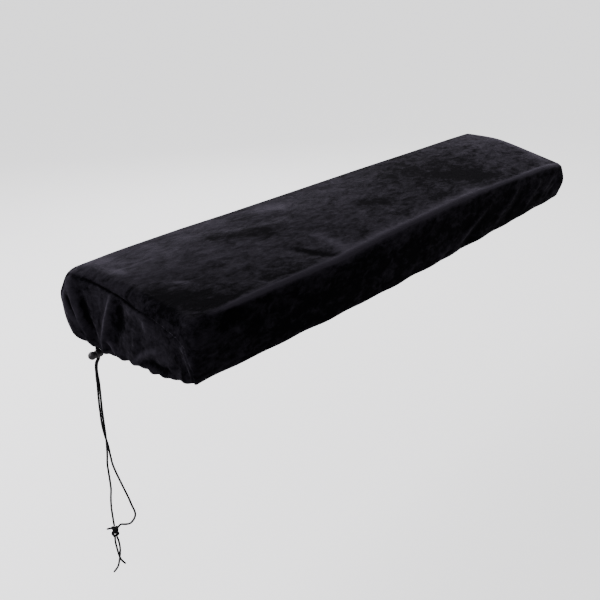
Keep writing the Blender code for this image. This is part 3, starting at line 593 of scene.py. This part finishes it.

# where the velvet is painted lighter or darker: painted highlights and painted shade placed where the light
# falls, and some lighter or darker pile; share, width and the line that each follows
marks = {
    "top": (
        # painted light over the top: lighter over the near half, darker over the far half
        (0.26, 0.120, ((-0.680, 0.110), (-0.500, 0.090), (-0.330, 0.110))),
        (0.08, 0.100, ((-0.330, 0.120), (-0.100, 0.080), (0.050, 0.100))),
        (-0.24, 0.110, ((0.060, -0.010), (0.250, 0.000), (0.440, 0.010))),
        (0.16, 0.080, ((0.520, 0.050), (0.600, 0.080), (0.660, 0.040))),
        # painted highlights on the near back corner and beside the near seam
        (0.70, 0.020, ((-0.664, 0.138), (-0.640, 0.126), (-0.634, 0.094))),
        (0.75, 0.008, ((-0.656, 0.066), (-0.648, 0.056), (-0.652, 0.038))),
        # painted shade where the top turns down at the near front corner, then painted highlights and painted
        # shade along creases and edges
        (-0.50, 0.034, ((-0.676, -0.030), (-0.650, -0.078), (-0.616, -0.118), (-0.560, -0.146))),
        (-0.10, 0.050, ((-0.600, -0.060), (-0.500, -0.100), (-0.400, -0.120))),
        (0.60, 0.005, ((-0.610, -0.032), (-0.590, -0.050))),
        (-0.40, 0.026, ((-0.465, 0.052), (-0.424, 0.043), (-0.370, 0.019), (-0.306, 0.013))),
        (0.45, 0.024, ((-0.255, 0.112), (-0.202, 0.068))),
        (0.55, 0.018, ((-0.265, -0.048), (-0.269, -0.099), (-0.280, -0.135))),
        (-0.35, 0.007, ((-0.357, -0.064), (-0.334, -0.102), (-0.303, -0.137))),
        (-0.30, 0.022, ((-0.076, -0.024), (-0.040, -0.034), (-0.005, -0.043))),
        (-0.50, 0.026, ((0.225, -0.015), (0.281, -0.057), (0.357, -0.092))),
        (0.60, 0.016, ((0.640, -0.120), (0.662, -0.060), (0.664, 0.020), (0.668, 0.090))),
        # painted highlight along the back edge, then painted highlights along the rounded front edge
        (0.08, 0.016, ((-0.660, 0.138), (-0.500, 0.139), (-0.340, 0.138))),
        (1.90, 0.0060, ((-0.640, -0.1400), (-0.430, -0.1410), (-0.260, -0.1410))),
        (1.30, 0.0065, ((-0.340, -0.1400), (-0.200, -0.1410), (-0.060, -0.1410))),
        (0.60, 0.0120, ((-0.300, -0.1320), (-0.180, -0.1330), (-0.040, -0.1330))),
        (1.60, 0.0070, ((-0.090, -0.1405), (0.060, -0.1410), (0.200, -0.1405))),
        (0.50, 0.0140, ((-0.040, -0.1300), (0.100, -0.1320), (0.260, -0.1300))),
        (1.50, 0.0060, ((0.160, -0.1410), (0.360, -0.1410), (0.520, -0.1405))),
        (1.90, 0.0065, ((0.460, -0.1405), (0.580, -0.1400), (0.680, -0.1390))),
    ),
    "near": (
        # darker along the seam, then painted highlights on fold ridges and painted shade in fold troughs
        (-0.55, 0.0026, (
            (0.134, 0.1140), (0.086, 0.1150), (0.033, 0.1090), (-0.023, 0.0960), (-0.045, 0.0910),
        )),
        (0.12, 0.0200, ((0.138, 0.100), (0.130, 0.060), (0.112, 0.020))),
        (0.60, 0.0045, ((0.128, 0.112), (0.122, 0.100), (0.116, 0.079), (0.112, 0.055), (0.107, 0.038))),
        (0.55, 0.0050, ((0.138, 0.095), (0.134, 0.074), (0.128, 0.057), (0.117, 0.038))),
        (-0.60, 0.0040, ((0.129, 0.086), (0.124, 0.066), (0.119, 0.050))),
        (0.15, 0.0180, ((0.070, 0.104), (0.066, 0.080))),
        (0.45, 0.0055, ((0.031, 0.107), (0.041, 0.082), (0.054, 0.052), (0.063, 0.028))),
        (0.70, 0.0035, ((0.056, 0.028), (0.047, 0.021), (0.041, 0.010))),
        (0.28, 0.0090, ((-0.004, 0.090), (-0.025, 0.093), (-0.044, 0.087), (-0.047, 0.070))),
        (0.12, 0.0300, ((-0.010, 0.076), (-0.050, 0.062), (-0.094, 0.036))),
        (0.45, 0.0050, ((-0.004, 0.006), (-0.028, 0.026), (-0.051, 0.038), (-0.072, 0.041))),
        (-0.35, 0.0060, ((-0.018, 0.006), (-0.038, 0.018), (-0.063, 0.018), (-0.092, 0.014))),
        (0.55, 0.0040, ((-0.120, 0.064), (-0.128, 0.052), (-0.135, 0.034))),
        (-0.45, 0.0120, ((0.018, 0.098), (0.016, 0.070), (0.027, 0.046))),
        (-0.50, 0.0090, ((0.102, 0.090), (0.098, 0.060), (0.088, 0.030))),
    ),
    "front": (
        # painted shade over the whole front, then painted highlights on fold ridges
        (-0.30, 0.080, ((-0.680, 0.020), (-0.300, 0.040), (0.300, 0.040), (0.700, 0.030))),
        (0.28, 0.010, ((0.086, 0.002), (0.175, 0.039), (0.250, 0.064))),
        (0.22, 0.008, ((0.046, 0.008), (0.089, 0.027))),
        (0.24, 0.010, ((0.311, 0.032), (0.364, 0.052), (0.400, 0.070))),
        (0.24, 0.009, ((0.471, 0.031), (0.526, 0.059))),
        (0.24, 0.009, ((0.559, 0.037), (0.611, 0.061))),
    ),
}


def topHeight(x, y):
    front = np.interp(x, topSections[:, 0], topSections[:, 1])
    back = np.interp(x, topSections[:, 0], topSections[:, 2])
    soft = cover["ridgeSoftness"]
    slope = (cover["ridgeY"] - y) / (cover["ridgeY"] + cover["width"] / 2)
    fall = (slope + np.sqrt(slope**2 + soft**2)) / (1 + sqrt(1 + soft**2))
    return back - (back - front) * fall


topUnderside = float(topHeight(0, 0)) - cover["cloth"]


def endShare(points):
    # 1 on the ends and 0 on the long sides
    fromEnd = cover["length"] / 2 - np.abs(points[:, 0]) + cover["shareSoftness"]
    fromSide = cover["width"] / 2 - np.abs(points[:, 1]) + cover["shareSoftness"]
    return fromSide / (fromEnd + fromSide)


def hemDrop(points):
    near = np.interp(points[:, 1], nearHem[:, 0], nearHem[:, 1])
    ends = np.where(points[:, 0] < 0, near, cover["farHemDrop"])
    share = endShare(points)
    return share * ends + (1 - share) * np.interp(points[:, 0], longHem[:, 0], longHem[:, 1])


def edgeRadius(points):
    back = np.clip(points[:, 1] / cover["width"] + 0.5, 0, 1)
    up = np.clip(points[:, 2] / cover["height"], 0, 1)
    top = cover["frontRadius"] + (cover["backRadius"] - cover["frontRadius"]) * back
    corner = np.array((-cover["length"] / 2, cover["width"] / 2, cover["height"]))
    away = np.linalg.norm(points - corner, axis=1) / cover["cornerReach"]
    radius = cover["bottomRadius"] + (top - cover["bottomRadius"]) * up**2
    return radius + cover["cornerSoftening"] * np.exp(-(away**2))


def boxHeight(x, y, height):
    return height * cover["height"] / float(topHeight(x, y))


def foldLine(face, places):
    if face == "top":
        return np.array([(x, y, cover["height"]) for x, y in places])
    if face in ("near", "far"):
        x = cover["length"] / 2 * (-1 if face == "near" else 1)
        return np.array([(x, y, boxHeight(x, y, z)) for y, z in places])
    y = cover["width"] / 2 * (-1 if face == "front" else 1)
    return np.array([(x, y, boxHeight(x, y, z)) for x, z in places])


def nearestOn(points, line):
    # how far each point is from a line, and how far along it the nearest place is, from 0 to 1
    steps = np.diff(line, axis=0)
    lengths = np.linalg.norm(steps, axis=1)
    starts = np.cumsum(lengths) - lengths
    nearest = np.full(len(points), np.inf)
    share = np.zeros(len(points))
    for place, step, length, start in zip(line, steps, lengths, starts):
        along = np.clip((points - place) @ step / length**2, 0, 1)
        away = np.linalg.norm(points - place - along[:, None] * step, axis=1)
        share = np.where(away < nearest, (start + along * length) / lengths.sum(), share)
        nearest = np.minimum(away, nearest)
    return nearest, share


def linesOver(points, lines):
    # the sum of soft ridges along lines, each lower towards its ends
    total = np.zeros(len(points))
    for face, table in lines.items():
        for rise, width, places in table:
            away, share = nearestOn(points, foldLine(face, places))
            fade = np.sin(np.clip(np.minimum(share, 1 - share) / foldEnds["fade"], 0, 1) * pi / 2)
            height = foldEnds["least"] + (1 - foldEnds["least"]) * fade
            total += rise * height * np.exp(-((away / width) ** 2))
    return total


def gatherRise(points):
    def waves(along, table):
        return sum(part * np.sin(2 * pi * along / length + phase) for length, part, phase in table)

    share = endShare(points)
    ends = gathers["endHeight"] * waves(points[:, 1], gathers["ends"])
    sides = gathers["sideHeight"] * waves(points[:, 0], gathers["sides"])
    return (share * ends + (1 - share) * sides) * np.exp(-points[:, 2] / gathers["reach"])


def coverSkin(points, depth):
    # places on the level box, taken to the cover's outside or to a depth in its cloth
    radius = edgeRadius(points)[:, None]
    half = np.array((cover["length"], cover["width"], cover["height"])) / 2
    middle = np.array((0, 0, cover["height"] / 2))
    core = np.clip(points - middle, radius - half, half - radius) + middle
    out = points - core
    out /= np.linalg.norm(out, axis=1)[:, None]
    up = points[:, 2] / cover["height"]
    rise = cover["billow"] * np.sin(pi * up) - cover["hemDrawnIn"] * (1 - up) ** 3
    for x, y, z, swell, reach in bulges:
        away = np.linalg.norm(points - (x, y, boxHeight(x, y, z)), axis=1)
        rise = rise + swell * np.exp(-((away / reach) ** 2))
    rise = (1 - out[:, 2] ** 2) * rise + linesOver(points, folds) + gatherRise(points)
    placed = core + (radius + (rise - depth)[:, None]) * out
    placed[:, 2] *= topHeight(placed[:, 0], placed[:, 1]) / cover["height"]
    placed[:, 2] -= hemDrop(points) * (1 - up) ** 2 + topUnderside
    return placed


def tuckDepth(end, y):
    pulled = exp(-(((y - cover["exitY"]) / cover["exitReach"]) ** 2)) if end < 0 else 0
    return cover["tuck"] - (cover["tuck"] - cover["exitTuck"]) * pulled


def clothDepth(share):
    # the cloth swells round the drawcord at the hem's edge
    into = min((1 - share) / cover["tunnelShare"], 1)
    return cover["cloth"] + cover["tunnelSwell"] * sin(pi * into)


def seamOf(end):
    return nearSeam if end < 0 else farSeam


def hemPlace(end, side, share):
    y = side * (cover["width"] / 2 - cover["seamInset"] - share * cover["tuck"])
    return (end * (cover["length"] / 2 - share * tuckDepth(end, y)), y, 0.0)


def uprightPlace(end, side, height):
    y, top = seamOf(end)[-1] if side > 0 else seamOf(end)[0]
    top = boxHeight(end * cover["length"] / 2, y, top)
    climb = float(np.interp(height, (cover["seamSpread"], cover["height"]), (0, 1)))
    inset = cover["width"] / 2 - cover["seamInset"]
    z = min(height, cover["seamSpread"]) + (top - cover["seamSpread"]) * climb
    return (end * cover["length"] / 2, side * (inset + (abs(y) - inset) * climb), z)


def topPlace(end, y):
    table = seamOf(end)
    half = cover["width"] / 2
    y = float(np.interp(y, (-half, half), (table[0][0], table[-1][0])))
    x = end * cover["length"] / 2
    return (x, y, boxHeight(x, y, float(np.interp(y, table[:, 0], table[:, 1]))))


def spread(start, finish, near, middle, edge=0.020):
    # numbers from start to finish, close together near both ends
    span = finish - start
    edge = min(edge, span / 2.5)
    first = np.arange(0, edge, near)
    inner = np.linspace(edge, span - edge, max(int(round((span - 2 * edge) / middle)), 1) + 1)
    return start + np.concatenate([first, inner, span - first[::-1]])


grid = {
    "hem": 9,  # rows over the turned hem
    "edge": 0.0018,
    "wall": 0.0042,
    "along": 0.0052,
    "seamColumns": 12,
    "nearRow": 0.0018,
    "nearColumn": 0.0019,
    "farRow": 0.0030,
    "farColumn": 0.0030,
    "endEdge": 0.0008,  # the first row and column beside an end's seam
    "endEdgeBand": 0.006,
    "endWidth": 0.28,
}


def seamShares():
    # close together beside the seam
    return (np.arange(grid["seamColumns"]) / grid["seamColumns"]) ** 1.7


def mainRow(side, share, height, columns):
    inset = share * cover["tuck"]
    y = side * (cover["width"] / 2 - inset)
    middle = [(x * (1 - 2 * inset / cover["length"]), y, height) for x in columns]
    ends = [hemPlace(end, side, share) if share else uprightPlace(end, side, height) for end in (-1, 1)]
    return withSeams(ends, middle)


def withSeams(ends, middle):
    near, far = (np.array(place) for place in ends)
    first, last = np.array(middle[0]), np.array(middle[-1])
    start = [near + (first - near) * part for part in seamShares()]
    finish = [far + (last - far) * part for part in seamShares()[::-1]]
    return np.array([*start, *middle, *finish])


def mainGrid():
    half = cover["length"] / 2
    columns = spread(-half, half, grid["edge"], grid["along"])
    walls = spread(0, cover["height"], grid["edge"], grid["wall"])[:-1]
    tops = spread(-cover["width"] / 2, cover["width"] / 2, grid["edge"], grid["wall"])[::-1]
    shares = np.linspace(1, 0, grid["hem"], endpoint=False)
    back = [mainRow(1, share, 0.0, columns) for share in shares]
    back += [mainRow(1, 0.0, height, columns) for height in walls]
    over = [
        withSeams([topPlace(end, y) for end in (-1, 1)], [(x, y, cover["height"]) for x in columns])
        for y in tops
    ]
    front = [mainRow(-1, 0.0, height, columns) for height in walls[::-1]]
    front += [mainRow(-1, share, 0.0, columns) for share in shares[::-1]]
    hem = [clothDepth(share) for share in shares]
    depths = [*hem, *[cover["cloth"]] * (2 * len(walls) + len(tops)), *hem[::-1]]
    places = np.array(back + over + front)
    seam = np.minimum(
        np.linalg.norm(places - places[:, :1], axis=2), np.linalg.norm(places - places[:, -1:], axis=2)
    )
    return places, np.array(depths), seam


def across(start, finish, shares):
    return np.array(start) + (np.array(finish) - np.array(start)) * shares[:, None]


def endGrid(end, row, column):
    shares = spread(0, 1, grid["endEdge"] / grid["endWidth"], column / grid["endWidth"], edge=0.025)
    rows = []
    hemShares = np.linspace(1, 0, grid["hem"], endpoint=False)
    for share in hemShares:
        line = across(hemPlace(end, 1, share), hemPlace(end, -1, share), shares)
        line[:, 0] = [end * (cover["length"] / 2 - share * tuckDepth(end, y)) for y in line[:, 1]]
        rows.append(line)
    for height in np.arange(0, cover["seamSpread"], row):
        rows.append(across(uprightPlace(end, 1, height), uprightPlace(end, -1, height), shares))
    foot = across(*[uprightPlace(end, side, cover["seamSpread"]) for side in (1, -1)], shares)
    upper = across(*[uprightPlace(end, side, cover["height"]) for side in (1, -1)], shares)
    table = seamOf(end)
    x = end * cover["length"] / 2
    seam = [boxHeight(x, y, float(np.interp(y, table[:, 0], table[:, 1]))) for y in upper[:, 1]]
    upper[:, 2] = seam
    span = upper[:, 2].mean() - cover["seamSpread"]
    parts = spread(0, span, grid["endEdge"], row, edge=grid["endEdgeBand"]) / span
    first = len(np.arange(0, grid["endEdgeBand"], grid["endEdge"]))
    rows += [foot + (upper - foot) * part for part in parts[first:]]
    places = np.array(rows)
    edges = [places[:, 0], places[:, -1], places[-1]]
    flat = places.reshape(-1, 3)
    away = np.min([nearestOn(flat, edge)[0] for edge in edges], axis=0).reshape(places.shape[:2])
    depths = [clothDepth(share) for share in hemShares]
    depths += [cover["cloth"]] * (len(rows) - len(depths))
    return places, np.array(depths), away


def addPanel(name, grids, material):
    # a flat grid moved to the cover's outside, then extruded inwards by the depth of the cloth
    places, depths, seam = grids
    rows, columns = places.shape[:2]
    dip = cover["grooveDepth"] * np.exp(-((seam / cover["grooveWidth"]) ** 2))
    dip -= cover["grooveLip"] * np.exp(-(((seam - cover["lipPlace"]) / cover["lipWidth"]) ** 2))
    points = places.reshape(-1, 3)
    outside = coverSkin(points, dip.reshape(-1))
    inside = coverSkin(points, (dip + depths[:, None]).reshape(-1))
    mesh = bmesh.new()
    bmesh.ops.create_grid(mesh, x_segments=rows - 1, y_segments=columns - 1, size=1.0)
    layer = mesh.verts.layers.float.new("brushed")
    spots = {gridSpot(vert): vert for vert in mesh.verts}
    cloth = mesh.faces[:] + mesh.edges[:] + mesh.verts[:]
    made = bmesh.ops.extrude_face_region(mesh, geom=cloth, use_keep_orig=True)["geom"]
    copies = {gridSpot(item): item for item in made if isinstance(item, bmesh.types.BMVert)}
    # painted highlights and painted shade, one value per point, summed from the marks
    brushed = linesOver(points, marks)
    for spot, outer, inner, level in zip(sorted(spots), outside, inside, brushed):
        spots[spot].co = outer
        spots[spot][layer] = level
        copies[spot].co = inner
    bmesh.ops.recalc_face_normals(mesh, faces=mesh.faces[:])
    if mesh.calc_volume(signed=True) < 0:
        bmesh.ops.reverse_faces(mesh, faces=mesh.faces[:])
    piece = addMesh(name + "_velvet", mesh, material)
    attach(piece, "cover")
    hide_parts(name)
    print("cloth", name, rows, "x", columns)
    return piece


def gridSpot(vert):
    return (round(vert.co.x, 5), round(vert.co.y, 5))


velvetLook = velvetMaterial()
mainPanel = addPanel("main_panel", mainGrid(), velvetLook)
nearPanel = addPanel("near_panel", endGrid(-1, grid["nearRow"], grid["nearColumn"]), velvetLook)
farPanel = addPanel("far_panel", endGrid(1, grid["farRow"], grid["farColumn"]), velvetLook)

lockLook = lockMaterial()
for name in ("lock_barrel", "lock_plunger"):
    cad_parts[name].data.materials.clear()
    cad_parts[name].data.materials.append(lockLook)
